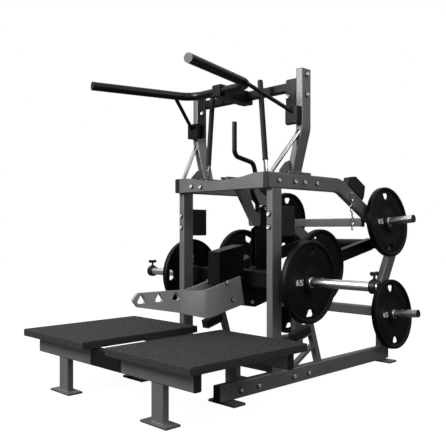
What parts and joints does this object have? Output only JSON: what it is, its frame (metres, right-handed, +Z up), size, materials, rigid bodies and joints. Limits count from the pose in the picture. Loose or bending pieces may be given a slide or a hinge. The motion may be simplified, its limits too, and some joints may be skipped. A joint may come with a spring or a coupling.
{
  "type": "belt squat machine",
  "caption": "Plate loaded belt squat machine: steel frame, standing platform, forked belt arm on a rear pivot, handlebar, release lever and weight plates.",
  "frame": {"origin": "on the floor, at the middle of the whole machine's width and depth", "axes": "+X to the lifter's right-hand side as the lifter faces the handles, +Y from the platform to the rear pivot, +Z up"},
  "size_m": [1.818, 2.228, 1.739],
  "materials": {
    "frame_paint": "satin metallic dark grey powder coat",
    "black_paint": "satin black powder coat",
    "chrome": "polished",
    "black_rubber": "fine textured, matte",
    "black_plastic": "matte",
    "plate_iron": "black coated, satin",
    "chain_steel": "bright plated"
  },
  "bodies": {
    "frame": {"arm_stop_pads": "black_rubber", "base_cross_tube": "frame_paint", "base_rails": "frame_paint", "belt_chain": "chain_steel", "bumper_stands": "frame_paint", "catch_pin": "chrome", "foot_pads": "black_rubber", "foot_plates": "black_paint", "frame_bolts": "chrome", "front_beam_brackets": "black_paint", "front_cross_beam": "frame_paint", "front_uprights": "frame_paint", "hand_grips": "black_rubber", "hand_posts": "chrome", "handle_bar": "black_paint", "handle_braces": "black_paint", "handle_crossbar": "black_paint", "handle_mounts": "black_paint", "handle_saddle": "black_paint", "mast_braces": "frame_paint", "mast_foot_plates": "frame_paint", "masts": "frame_paint", "pivot_bearings": "black_paint", "platform_front_beams": "frame_paint", "platform_front_link": "black_paint", "platform_legs": "frame_paint", "platform_mat_left": "black_rubber", "platform_mat_right": "black_rubber", "platform_rear_beam": "frame_paint", "rear_lower_rail": "frame_paint", "rear_upper_rail": "frame_paint", "rear_uprights": "frame_paint", "side_beams": "frame_paint", "slope_pads": "black_rubber", "storage_horns": "chrome", "tube_end_caps": "black_plastic"},
    "belt_arm": {"arm_pivot_shaft": "chrome", "arm_pivot_sleeve": "black_paint", "arm_side_tubes": "black_paint", "arm_cross_tube": "black_paint", "nose_plate_right": "black_paint", "nose_plate_left": "black_paint", "arm_centre_block": "black_paint", "arm_tower": "black_paint", "catch_post": "black_paint", "catch_peg": "chrome", "load_horns": "chrome", "load_horn_caps": "black_plastic"},
    "catch_lever": {"catch_arm": "frame_paint", "release_lever": "black_paint"},
    "load_plate_outer_right": {"load_plate_outer_right": "plate_iron"},
    "load_plate_inner_right": {"load_plate_inner_right": "plate_iron"},
    "stored_plate_upper_right": {"stored_plate_upper_right": "plate_iron"},
    "stored_plate_lower_right": {"stored_plate_lower_right": "plate_iron"},
    "horn_collar_right": {"horn_collar_right": "chrome"},
    "load_plate_outer_left": {"load_plate_outer_left": "plate_iron"},
    "load_plate_inner_left": {"load_plate_inner_left": "plate_iron"},
    "stored_plate_upper_left": {"stored_plate_upper_left": "plate_iron"},
    "stored_plate_lower_left": {"stored_plate_lower_left": "plate_iron"},
    "horn_collar_left": {"horn_collar_left": "chrome"}
  },
  "joints": [
    {"name": "arm_lift", "type": "hinge", "parent": "frame", "child": "belt_arm", "pos_m": [0, 0.889, 0.765], "axis": [-1, 0, 0], "range_deg": [0, 11]},
    {"name": "catch_release", "type": "hinge", "parent": "frame", "child": "catch_lever", "pos_m": [0, -0.121, 1.13], "axis": [-1, 0, 0], "range_deg": [0, 10]},
    {"name": "load_plate_outer_right_slide", "type": "slide", "parent": "belt_arm", "child": "load_plate_outer_right", "axis": [1, 0, 0], "range_m": [0, 0.36]},
    {"name": "load_plate_inner_right_slide", "type": "slide", "parent": "belt_arm", "child": "load_plate_inner_right", "axis": [1, 0, 0], "range_m": [0, 0.08]},
    {"name": "horn_collar_right_slide", "type": "slide", "parent": "belt_arm", "child": "horn_collar_right", "axis": [1, 0, 0], "range_m": [-0.35, 0.06]},
    {"name": "stored_plate_upper_right_slide", "type": "slide", "parent": "frame", "child": "stored_plate_upper_right", "axis": [0.9945, 0, 0.1045], "range_m": [0, 0.21]},
    {"name": "stored_plate_lower_right_slide", "type": "slide", "parent": "frame", "child": "stored_plate_lower_right", "axis": [0.9945, 0, 0.1045], "range_m": [0, 0.21]},
    {"name": "load_plate_outer_left_slide", "type": "slide", "parent": "belt_arm", "child": "load_plate_outer_left", "axis": [-1, 0, 0], "range_m": [0, 0.36]},
    {"name": "load_plate_inner_left_slide", "type": "slide", "parent": "belt_arm", "child": "load_plate_inner_left", "axis": [-1, 0, 0], "range_m": [0, 0.08]},
    {"name": "horn_collar_left_slide", "type": "slide", "parent": "belt_arm", "child": "horn_collar_left", "axis": [-1, 0, 0], "range_m": [-0.35, 0.06]},
    {"name": "stored_plate_upper_left_slide", "type": "slide", "parent": "frame", "child": "stored_plate_upper_left", "axis": [-0.9945, 0, 0.1045], "range_m": [0, 0.21]},
    {"name": "stored_plate_lower_left_slide", "type": "slide", "parent": "frame", "child": "stored_plate_lower_left", "axis": [-0.9945, 0, 0.1045], "range_m": [0, 0.21]}
  ]
}
